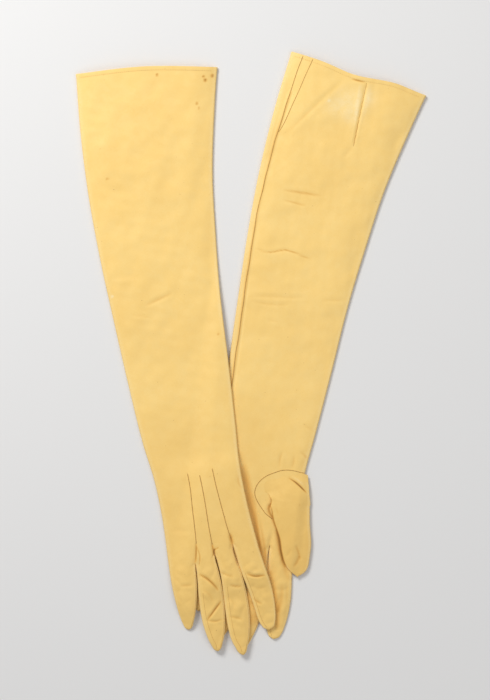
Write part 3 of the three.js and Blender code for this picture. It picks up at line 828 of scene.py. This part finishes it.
def kid_leather(name, base, deep, grain=1.0):
    """Dyed kid leather: cloudy colour, fine pores, painted shade in creases, gaps and under overhangs, paler
    where it is worn or scuffed and with painted highlights on ridges.
    """
    s = Shader(name)
    place = s.attribute("rest", "Vector")
    clouds = s.noise(place, 0.045, 3.0, 0.55, 0.4)
    blotches = s.noise(place, 0.16, 4.0, 0.6)
    mottle = s.noise(place, 0.75, 3.0, 0.6)
    pores = s.noise(place, 2.6, 3.0, 0.65)
    fine = s.noise(place, 6.5, 2.0, 0.6)
    tone, stains_and_painted_light, worn = (s.attribute(key) for key in ("tone", "stains_and_painted_light", "worn"))

    def times(a, b):
        return s.math("MULTIPLY", a, b)

    grime = times(s.ramp(blotches, 0.35, 0.6, 0.35, 1.0), times(tone, 0.09))
    uneven = s.math("ADD", times(blotches, 0.6), times(mottle, 0.4))
    # Negative tint: pale scuffs, and painted highlights on ridges.
    scuffs_and_painted_highlights = s.ramp(times(stains_and_painted_light, -1.0), 0.0, 1.0, 0.0, 0.95)
    rub = times(worn, s.ramp(mottle, 0.35, 0.62, 0.35, 1.0))
    specks = s.noise(place, 0.42, 1.0, 0.4)
    colour = base
    for amount, layer in (
        (s.ramp(clouds, 0.34, 0.66), shifted(base, 1.0, 0.975, 0.91)),
        (s.ramp(blotches, 0.42, 0.66, 0.0, 0.5), shifted(base, 0.99, 0.95, 0.87)),
        (s.ramp(mottle, 0.4, 0.7, 0.0, 0.4), shifted(base, 1.02, 1.03, 1.12)),
        (tone, deep),
        (grime, BROWN),
        # Painted shade and shadow, with stains, from the tint: amber, then brown where it is deeper.
        (s.ramp(stains_and_painted_light, 0.0, 0.75, 0.0, 0.9), AMBER),
        (s.ramp(stains_and_painted_light, 0.45, 1.15, 0.0, 0.9), BROWN),
        (times(scuffs_and_painted_highlights, s.ramp(uneven, 0.35, 0.6, 0.45, 1.0)), PALE),
        (times(rub, 0.6), PALE),
        (s.ramp(specks, 0.79, 0.82, 0.0, 0.4), BROWN),
        (s.ramp(pores, 0.3, 0.6, 0.16, 0.0), deep),
    ):
        colour = s.mix(amount, colour, layer)
    roughness = s.ramp(s.math("ADD", pores, times(blotches, 0.5)), 0.5, 1.0, 0.5, 0.68)
    height = s.math("ADD", s.math("ADD", times(pores, 0.6), times(fine, 0.4)), times(mottle, 1.1))
    s.shader.inputs["Specular IOR Level"].default_value = 0.32
    return s.finish(colour, roughness, height, 0.55 * grain, 0.00012)


def seam_material(name, base, dark):
    """Twisted sewing thread and the pressed leather edge under it."""
    s = Shader(name)
    place = s.attribute("rest", "Vector")
    strands = s.noise(place, 3.2, 3.0, 0.6, 1.5)
    dirt = s.noise(place, 0.3, 3.0, 0.6)
    colour = s.mix(s.ramp(strands, 0.35, 0.65), dark, base)
    colour = s.mix(s.ramp(dirt, 0.4, 0.65, 0.0, 0.5), colour, dark)
    return s.finish(colour, s.ramp(strands, 0.3, 0.7, 0.6, 0.8), strands, 0.6, 0.00015)


kid = kid_leather("kid_leather", BASE, DEEP)
kid_inside = kid_leather("kid_leather_inside", INSIDE, (0.8, 0.56, 0.25, 1), 1.6)
seam_kid = seam_material("pressed_seam", (0.72, 0.43, 0.115, 1), (0.42, 0.22, 0.05, 1))
seam_light = seam_material("pressed_finger_seam", (0.8, 0.52, 0.17, 1), (0.6, 0.35, 0.09, 1))
seam_thread = seam_material("sewing_thread", (0.86, 0.6, 0.24, 1), (0.68, 0.43, 0.13, 1))


# ---- skins in the row frame ----

def tone_of(u, v):
    """Hand-ward deepening of the colour."""
    deep = 0.42 * (1 - smoothstep(v, -20, 190)) + 0.04 * (1 - smoothstep(v, -112, -30))
    return np.clip(0.04 + deep + 0.07 * waves(u, v, TONE_SEED, 60, 200), 0, 1)


def fourchette_points(skin):
    """1 for each point of a fourchette, 0 for the others."""
    chosen = np.zeros(skin.count)
    for face, label in zip(skin.faces, skin.labels):
        if "fourchette" in label:
            chosen[list(face)] = 1.0
    return chosen


def place_skin(side):
    """A glove's skin, its places in the row frame, its normals and the values that colour it."""
    skin = build_skin(side)
    u, v, z, free = skin.arrays()
    marks, stains_and_painted_light = add_marks(side, u, v)
    x, y = to_world(side, u, v)
    lifted = z + marks * free + rest_height(side, u, v) + TABLE_GAP
    world = np.column_stack([x, y, lifted])
    attributes = {
        "rest": np.column_stack([u + (400 if side == "right" else 0), v, z]),
        "tone": np.clip(tone_of(u, v) - 0.15 * fourchette_points(skin), 0, 1),
        "stains_and_painted_light": stains_and_painted_light * np.clip(np.maximum(free * 3, (z - 1) / 0.8), 0, 1),
        "worn": 0.35 * np.clip(1 - free * 2.5, 0, 1) * (lifted > 0.8),
    }
    return skin, world, vertex_normals(world, skin.faces), attributes


def groups_of(side, skin):
    """Faces of each piece of a glove."""
    middles = np.column_stack([[values[list(f)].mean() for f in skin.faces] for values in skin.arrays()[:3]])
    in_ring = inside_polygon(middles[:, 0], middles[:, 1], THUMB_RING + THUMB_RING_UNDER)
    on_palm = (middles[:, 2] > 1.5) == (side == "left")
    groups = {}
    for face, label, in_patch in zip(skin.faces, skin.labels, in_ring & on_palm):
        groups.setdefault("thumb_root" if label == "trank" and in_patch else label, []).append(face)
    return groups


def blend_across(piece, joint_name, parent, child, before, after):
    """Bakes a piece's place into its mesh; it does not blend the piece. joint_name, parent, child, before
    and after (millimetres toward the mouth) are not used.
    """
    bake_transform(piece)


def attach(piece, side, zone):
    """Makes a piece follow the arm or the hand; a piece on the bend between them or on a finger of the upper
    glove only gets its place baked in.
    """
    if zone == "arm_bend":
        blend_across(piece, f"{side}_arm_fold", f"{side}_hand", f"{side}_arm", *ARM_BLEND)
    elif zone in FINGERS and side == "right":
        blend_across(piece, f"right_{zone}_bend", "right_hand", f"right_{zone}", *FINGER_BLEND)
    else:
        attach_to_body(piece, f"{side}_arm" if zone == "arm" else f"{side}_hand")


def dress(piece, side, zone, material, slot, *nodes):
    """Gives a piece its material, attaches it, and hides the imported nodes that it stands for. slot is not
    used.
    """
    piece.data.materials.append(material)
    if nodes:
        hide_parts(*nodes)
    attach(piece, side, zone)
    return piece


def leather_pieces(side, skin, world, normals, attributes):
    """Every leather piece of a glove but its thumb."""
    groups = groups_of(side, skin)

    def add(name, label, zone, slot, *nodes, material=kid):
        piece = split_piece(f"{side}_{name}", world, normals, groups[label], attributes)
        dress(piece, side, zone, material, slot, *[f"{side}_{n}" for n in nodes])

    add("trank", "trank", "arm_bend", "kid_leather", "arm_back", "arm_palm", "hand_back", "hand_palm")
    for finger in FINGERS:
        add(f"{finger}_finger", finger, finger, "kid_leather_shaded", f"{finger}_back", f"{finger}_palm")
        for label in sorted(k for k in groups if k.startswith(f"{finger}_fourchette")):
            add(label, label, finger, "kid_leather_shaded", label)
    add("arm_gusset", "gusset", "arm", "kid_leather", "arm_gusset")
    add("mouth_hem", "hem", "arm", "kid_leather_shaded", "mouth_hem")
    add("arm_lining", "lining", "arm", "kid_leather", material=kid_inside)
    add("thumb_root", "thumb_root", "hand", "kid_leather_shaded", "thumb_root")


# ---- seams laid on the leather ----

def lay_line(side, surface, points, upper=True):
    """The runs of a line, in world millimetres, where it lies on a glove's upper or under face."""
    line = resample(points, SEAM_STEP)
    x, y = to_world(side, line[:, 0], line[:, 1])
    from_z, way = (40.0, -1) if upper else (-5.0, 1)
    runs, run = [], []
    for k in range(len(line)):
        hit, normal = surface.ray_cast(Vector((x[k], y[k], from_z)) * MM, Vector((0, 0, way)))[:2]
        steep = hit is None or abs(normal.z) < STEEP
        jump = bool(run) and not steep and abs(hit.z / MM - run[-1][2]) > SEAM_JUMP
        if (steep or jump) and run:
            runs.append(run)
            run = []
        if not steep:
            run.append((x[k], y[k], hit.z / MM))
    runs.append(run)
    return [np.array(r) for r in runs if len(r) > 4]


# Outline of a pressed ridge across it: (across, height).
RIDGE_PROFILE = ((-0.5, -0.35), (-0.36, 0.25), (-0.14, 0.78), (0.14, 0.78), (0.36, 0.25), (0.5, -0.35))
# Loops along a stitch: (place along it, size, rise). Points round each loop: (across, height).
STITCH_LOOPS = ((-0.5, 0.35, -0.4), (-0.3, 0.9, 0.35), (0.0, 1.0, 0.7), (0.3, 0.9, 0.35), (0.5, 0.35, -0.4))
STITCH_ROUND = ((-0.5, 0.0), (-0.3, 0.6), (0.3, 0.6), (0.5, 0.0), (0.0, -0.5))


def frames_along(path):
    """Directions along a path, across it and up from it, at each of its points."""
    along = np.gradient(path, axis=0)
    along /= np.maximum(np.linalg.norm(along, axis=1, keepdims=True), 1e-9)
    across = np.cross(along, (0, 0, 1))
    across /= np.maximum(np.linalg.norm(across, axis=1, keepdims=True), 1e-9)
    return along, across, np.cross(across, along)


def ridge_mesh(path, width, height, upper=True):
    """A low rounded ridge along a path, with its foot just under the leather."""
    _, across, up = frames_along(path)
    rise = height if upper else -height
    n, sides = len(path), len(RIDGE_PROFILE)
    taper = np.minimum(1, np.minimum(np.arange(n), np.arange(n)[::-1]) / 2 + 0.25)[:, None]
    points = np.concatenate([path + across * a * width + up * rise * b * taper for a, b in RIDGE_PROFILE])
    faces = []
    for k in range(n - 1):
        for j in range(sides):
            m = (j + 1) % sides
            faces.append((j * n + k, m * n + k, m * n + k + 1, j * n + k + 1))
    faces.append(tuple(j * n for j in range(sides))[::-1])
    faces.append(tuple(j * n + n - 1 for j in range(sides)))
    return points, faces if upper else [face[::-1] for face in faces]


def stitch_meshes(path, pitch, length, width, lift, upper=True):
    """Short rounded stitches along a path."""
    at = distances_along(path)
    count = int(at[-1] / pitch)
    if count < 1:
        return np.zeros((0, 3)), []
    places = (np.arange(count) + 0.5) * pitch
    centre, along, across, up = (
        np.column_stack([np.interp(places, at, values[:, i]) for i in range(3)])
        for values in (path, *frames_along(path))
    )
    up = up if upper else -up
    points = np.stack([
        centre + along * s * length + across * a * width * size + up * (rise * lift + b * width * size)
        for s, size, rise in STITCH_LOOPS for a, b in STITCH_ROUND
    ], axis=1)
    sides = len(STITCH_ROUND)
    per = len(STITCH_LOOPS) * sides
    template = []
    for k in range(len(STITCH_LOOPS) - 1):
        for j in range(sides):
            m = (j + 1) % sides
            template.append((k * sides + j, (k + 1) * sides + j, (k + 1) * sides + m, k * sides + m))
    template += [tuple(range(sides)), tuple(range(per - sides, per))[::-1]]
    faces = [tuple(i * per + p for p in f) for i in range(count) for f in template]
    return points.reshape(-1, 3), faces


def add_sewing(side, name, parts, material, zone, *nodes):
    """One piece from the meshes of a seam."""
    points, faces, base = [], [], 0
    for own_points, own_faces in parts:
        points.append(own_points)
        faces.extend(tuple(i + base for i in f) for f in own_faces)
        base += len(own_points)
    points = np.concatenate(points)
    piece = make_mesh(f"{side}_{name}", points, faces, None, {"rest": points.copy()})
    dress(piece, side, zone, material, "seam_thread", *[f"{side}_{n}" for n in nodes])


def seam_line(side, surface, name, points, zone, nodes, upper, width, height, pitch=1.7):
    """One seam: a pressed ridge with stitches on it."""
    parts = []
    for path in lay_line(side, surface, points, upper):
        lifted = path + np.array((0, 0, height * 0.7 if upper else -height * 0.7))
        parts.append(ridge_mesh(path, width, height, upper))
        parts.append(stitch_meshes(lifted, pitch, pitch * 0.62, 0.26, 0.06, upper))
    add_sewing(side, name, parts, seam_kid, zone, *nodes)


def seam_path(which):
    """Pattern places of the side seam or of the gusset's second seam. The line sways a little."""
    start, knot, sway = (FINGER_ROOT + 6, 1, 0.45) if which == "side" else (GUSSET_START, 2, 0.225)
    points = []
    for v_middle in np.linspace(start, ARM_LENGTH - 1.2, 40):
        s = (v_middle - FINGER_ROOT) / (ARM_LENGTH - FINGER_ROOT)
        u_little, v_little, u_thumb, v_thumb, width = row_ends(s)
        place = knot_places(v_middle, width)[knot]
        share = (place + sway * math.sin(v_middle / 7.5) * math.sin(v_middle / 23.0)) / width
        points.append((lerp(u_little, u_thumb, share), lerp(v_little, v_thumb, share)))
    return points


def finger_seam_path(name, little_side, inset):
    """Pattern places of a fourchette's seam along one side of a finger."""
    outline = FINGER_OUTLINES[name]
    column, sign = (1, 1) if little_side else (2, -1)
    top_v = FINGER_ROOT
    for at_u, at_v in CROTCHES:
        if abs(at_u - outline[0][column]) < 2:
            top_v = at_v - 5
    tip = outline[-1][0]
    points = []
    for t in np.linspace(0.3 if little_side else 0.1, 0.965, 14):
        v = lerp(top_v, tip, t)
        half = (smooth_table(outline, v, 2) - smooth_table(outline, v, 1)) / 2
        place = min(inset + 0.5, half * 0.85)
        points.append((smooth_table(outline, v, column) + sign * place, v))
    return points


def add_seams(side, surface):
    """Every seam of a glove."""
    palm_up = GLOVES[side]["palm_up"]
    ring = THUMB_RING + THUMB_RING_UNDER + THUMB_RING[:1]
    seam_line(side, surface, "side_seam", seam_path("side"), "arm_bend",
              ["arm_side_seam", "hand_side_seam"], palm_up, 0.9, 0.3)
    seam_line(side, surface, "gusset_seam", seam_path("second"), "arm", [], palm_up, 0.7, 0.26)
    seam_line(side, surface, "thumb_seam", ring, "hand", ["thumb_seam"], palm_up, 0.9, 0.34)
    if palm_up:
        seam_line(side, surface, "dart_seam", DART, "arm", [], True, 0.5, 0.2)
    for i, line in enumerate(POINT_LINES, 1):
        seam_line(side, surface, f"point_{i}", line, "hand", [f"point_{i}"], not palm_up, 1.0, 0.5, 1.9)
    for finger, insets in FINGER_SEAMS.items():
        parts = []
        for little_side, inset in zip((True, False), insets):
            if inset is None:
                continue
            for path in lay_line(side, surface, finger_seam_path(finger, little_side, inset)):
                parts.append(ridge_mesh(path, 0.42, 0.18))
                parts.append(stitch_meshes(path + np.array((0, 0, 0.14)), 1.5, 0.8, 0.2, 0.05))
        add_sewing(side, f"{finger}_seams", parts, seam_light, finger)


def add_hem_stitches(side, surface):
    """A running stitch that holds the turned hem."""
    u_little, v_little, u_thumb, v_thumb, _ = row_ends(1 - (HEM_WIDTH + 0.3) / (ARM_LENGTH - FINGER_ROOT))
    points = []
    for share in np.linspace(0.03, 0.97, 50):
        wave = mouth_wave(side, share)
        points.append((lerp(u_little, u_thumb, share), lerp(v_little, v_thumb, share) + wave))
    lift = np.array((0, 0, 0.04))
    parts = [stitch_meshes(path + lift, 2.1, 1.3, 0.3, 0.08) for path in lay_line(side, surface, points)]
    add_sewing(side, "hem_stitches", parts, seam_thread, "arm")


# ---- thumbs ----

def left_thumb_base(u, v, sunk):
    """Height that the lower glove's thumb lies at: on the palm, and sagging past its edge."""
    edge = smooth_table(TRANK_OUTLINE, v, 2)
    on_palm = lerp(HAND_HEIGHT, HAND_HEIGHT - THUMB_SAG, sunk)
    return lerp(1.6, on_palm, smoothstep(edge - u, -9, 2.5))


def thumb_loop(plan, thickness, edge, soft=0.0):
    """One closed loop of points from the plan of its upper face."""
    shares = np.linspace(0, 1, len(plan))
    angles = np.radians(EDGE_ANGLES)
    width = np.linalg.norm(plan[-1] - plan[0])
    thick = crown(shares * width, width, edge, thickness, max(width * 0.4, 1.0))
    gentle = edge + (thickness - edge) * smoothstep(np.minimum(shares / 0.55, 1), 0, 1)
    thick = lerp(thick, gentle, soft)
    base = left_thumb_base(plan[:, 0], plan[:, 1], soft)
    reach = (plan[-1] - plan[0]) / max(width, 1e-6) * (edge / 2)

    def fold(end, way):
        out = way * np.outer(np.cos(angles), reach)
        return np.column_stack([plan[end] + out, base[end] + thick[end] * (0.5 + 0.5 * np.sin(angles))])

    upper = np.column_stack([plan, base + thick])
    lower = np.column_stack([plan, base])[::-1]
    return np.concatenate([upper, fold(-1, 1), lower, fold(0, -1)[::-1]])


def flare_loops(shares):
    """Loops from the ring seam on the palm up to where the thumb comes free."""
    steps = np.linspace(0, 1, FLARE_ROWS + 1)
    arc = along_line(resample(THUMB_ARC, 1.0), shares)
    left_line, right_line = along_line(FLARE_LEFT, steps), along_line(FLARE_RIGHT, steps)
    free_row = np.column_stack([lerp(FLARE_LEFT[-1][0], FLARE_RIGHT[-1][0], shares),
                                np.full_like(shares, THUMB_FREE)])
    p = shares[:, None]
    loops = []
    for row in range(FLARE_ROWS + 1):
        t = row / FLARE_ROWS
        rows = (1 - t) * arc + t * free_row
        sides = (1 - p) * left_line[row] + p * right_line[row]
        corners = ((1 - t) * (1 - p) * arc[0] + (1 - t) * p * arc[-1]
                   + t * (1 - p) * free_row[0] + t * p * free_row[-1])
        thickness = lerp(0.12, THUMB_HEIGHT, smoothstep(t, 0, 0.85))
        edge = lerp(0.1, THUMB_FREE_EDGE, smoothstep(t, 0.55, 1))
        loops.append(thumb_loop(rows + sides - corners, thickness, edge, 1 - t ** 3))
    return loops


def free_thumb_loops(shares):
    """Loops from where the thumb comes free to its tip."""
    tip_v = THUMB_OUTLINE[-1][0]
    first_left = FLARE_LEFT[-1][0] - smooth_table(THUMB_OUTLINE, THUMB_FREE, 1)
    first_right = FLARE_RIGHT[-1][0] - smooth_table(THUMB_OUTLINE, THUMB_FREE, 2)
    loops = []
    for row in range(1, THUMB_ROWS + 1):
        t = math.sin(row / THUMB_ROWS * math.pi / 2) ** 0.95
        v = lerp(THUMB_FREE, tip_v, t)
        ease = 1 - smoothstep(t, 0, 0.25)
        narrow = tip_rounding(t, THUMB_FREE - tip_v, THUMB_BLUNT)
        thin = lerp(0.55, 1, narrow)
        pinch = 0.96 * math.exp(-((v - 36) / 3.2) ** 2)
        low, high = narrowed(smooth_table(THUMB_OUTLINE, v, 1) + first_left * ease - pinch,
                             smooth_table(THUMB_OUTLINE, v, 2) + first_right * ease, narrow)
        thickness = lerp(THUMB_HEIGHT, TIP_HEIGHT, smoothstep(t, 0.5, 1)) * thin
        full = lerp(THUMB_FREE_EDGE, THUMB_MID_EDGE, 1 - ease)
        edge = min(lerp(full, THUMB_TIP_EDGE, t) * thin, (high - low) * 0.7)
        bow = 1.4 * (4 * shares * (1 - shares)) * (1 - narrow)
        u = lerp(low + edge / 2, high - edge / 2, shares)
        loops.append(thumb_loop(np.column_stack([u, v - bow]), thickness, edge))
    return loops


def tube_faces(loops):
    """Quads between neighbouring loops, and the face that closes the last one."""
    per = len(loops[0])
    faces = []
    for k in range(len(loops) - 1):
        for c in range(per):
            n = (c + 1) % per
            faces.append(((k + 1) * per + c, (k + 1) * per + n, k * per + n, k * per + c))
    last = (len(loops) - 1) * per
    return faces + [tuple(range(last, last + per))[::-1]]


def add_left_thumb():
    """The thumb's leather from the ring seam on the palm to a closed tip, as one tube."""
    shares = np.linspace(0, 1, THUMB_COLUMNS + 1)
    loops = flare_loops(shares) + free_thumb_loops(shares)
    per = len(loops[0])
    local = np.concatenate(loops)
    u, v, z = local.T
    upper = np.zeros(len(local))
    inner = smoothstep(np.minimum(shares, 1 - shares), 0.0, 0.18)
    for k in range(len(loops)):
        upper[k * per:k * per + THUMB_COLUMNS + 1] = inner * min(1, k / THUMB_STILL_ROWS)
    lift, stains_and_painted_light = press_creases(u, v, THUMB_CREASES, 0.0)
    lift += 0.12 * waves(u, v, THUMB_SEED, 10, 40)
    for at_u in (43.5, 50):
        stains_and_painted_light += 0.6 * np.exp(-((u - at_u) ** 2 + (v - 43) ** 2) / 0.8)
    from_edge = u - smooth_table(THUMB_OUTLINE, v, 1) - 0.1
    shadow = np.exp(-(from_edge / 1.05) ** 2) * smoothstep(v, -30, -18) * (1 - smoothstep(v, 30, 40))
    worn = np.clip(1 - upper * 3, 0, 1) * 0.4 * (u > 40)
    worn[:per * 12] = 0
    world = np.column_stack([*to_world("left", u, v), z + lift * upper + TABLE_GAP])
    piece = make_mesh("left_thumb", world, tube_faces(loops), None, {
        "rest": local + np.array((800, 0, 0)), "tone": np.clip(tone_of(u, v) + 0.26, 0, 1),
        "stains_and_painted_light": stains_and_painted_light * upper + 0.85 * shadow, "worn": worn,
    })
    piece.data.materials.append(kid)
    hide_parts("left_thumb_back", "left_thumb_front")
    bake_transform(piece)


def add_right_thumb():
    """The upper glove's thumb, pressed flat and tucked in under its palm."""
    shares = np.linspace(0, 1, TUCKED_COLUMNS + 1)
    angles = np.radians(EDGE_ANGLES)
    root_v, tip_v = THUMB_OUTLINE[0][0], THUMB_OUTLINE[-1][0]
    loops = []

    def level(u, z):
        return np.column_stack(np.broadcast_arrays(u, v, z))

    for row in range(TUCKED_ROWS + 1):
        t = math.sin(row / TUCKED_ROWS * math.pi / 2)
        v = lerp(root_v, tip_v, t)
        narrow = tip_rounding(t, root_v - tip_v, THUMB_BLUNT)
        low, high = narrowed(*(smooth_table(THUMB_OUTLINE, v, c) - THUMB_TUCK for c in (1, 2)), narrow)
        height = TUCKED_THUMB_HEIGHT * lerp(0.7, 1, narrow) - 0.1
        inset = height / 2
        low, high = low + inset, high - inset
        u = lerp(low, high, shares)
        out, rise = inset * np.cos(angles), inset * (1 + np.sin(angles))
        loops.append(np.concatenate([
            level(u, height), level(high + out, rise), level(u, 0.0)[::-1], level(low - out, rise)[::-1],
        ]))
    local = np.concatenate(loops)
    x, y = to_world("right", local[:, 0], local[:, 1])
    world = np.column_stack([x, y, local[:, 2] + rise_over_lower_glove(x, y) + 2 * TABLE_GAP])
    faces = [tuple(range(len(loops[0])))] + tube_faces(loops)
    zero = np.zeros(len(world))
    piece = make_mesh("right_thumb", world, faces, None, {
        "rest": local + np.array((1200, 0, 0)), "tone": zero + 0.5, "stains_and_painted_light": zero, "worn": zero})
    dress(piece, "right", "hand", kid, "kid_leather_shaded", "right_thumb_back", "right_thumb_front")


# ---- floor, light and camera ----

def add_floor():
    mesh = bpy.data.meshes.new("floor")
    half, z = 4.0, -0.0003
    corners = [(-half, -half, z), (half, -half, z), (half, half, z), (-half, half, z)]
    mesh.from_pydata(corners, [], [(0, 1, 2, 3)])
    floor = bpy.data.objects.new("floor", mesh)
    bpy.context.scene.collection.objects.link(floor)
    s = Shader("floor")
    s.shader.inputs["Base Color"].default_value = (0.78, 0.77, 0.75, 1)
    s.shader.inputs["Roughness"].default_value = 0.9
    mesh.materials.append(s.material)


def add_area_light(name, place, size, power):
    data = bpy.data.lights.new(name, "AREA")
    data.shape = "DISK"
    data.size = size
    data.energy = power
    light = bpy.data.objects.new(name, data)
    light.location = place
    light.rotation_euler = (-Vector(place)).to_track_quat("-Z", "Y").to_euler()
    bpy.context.scene.collection.objects.link(light)


def add_camera():
    data = bpy.data.cameras.new("camera")
    data.sensor_fit = "VERTICAL"
    data.sensor_height = 24.0
    data.lens = 75.26
    camera = bpy.data.objects.new("camera", data)
    camera.location = (-0.00605, 0.0032, 2.2)
    bpy.context.scene.collection.objects.link(camera)
    bpy.context.scene.camera = camera


def add_world():
    world = bpy.data.worlds.new("studio")
    world.use_nodes = True
    world.node_tree.nodes["Background"].inputs[0].default_value = (0.95, 0.96, 1.0, 1)
    world.node_tree.nodes["Background"].inputs[1].default_value = 0.42
    bpy.context.scene.world = world


# ---- build ----

for side in GLOVES:
    skin, world, normals, attributes = place_skin(side)
    leather_pieces(side, skin, world, normals, attributes)
    surface = BVHTree.FromPolygons((world * MM).tolist(), [tuple(int(i) for i in f) for f in skin.faces])
    add_seams(side, surface)
    add_hem_stitches(side, surface)
add_left_thumb()
add_right_thumb()
add_floor()
add_area_light("key", (-0.9, 1.2, 1.3), 0.8, 28)
add_area_light("fill", (1.2, -0.6, 1.6), 1.4, 7)
add_world()
add_camera()
bpy.context.scene.view_settings.view_transform = "Standard"
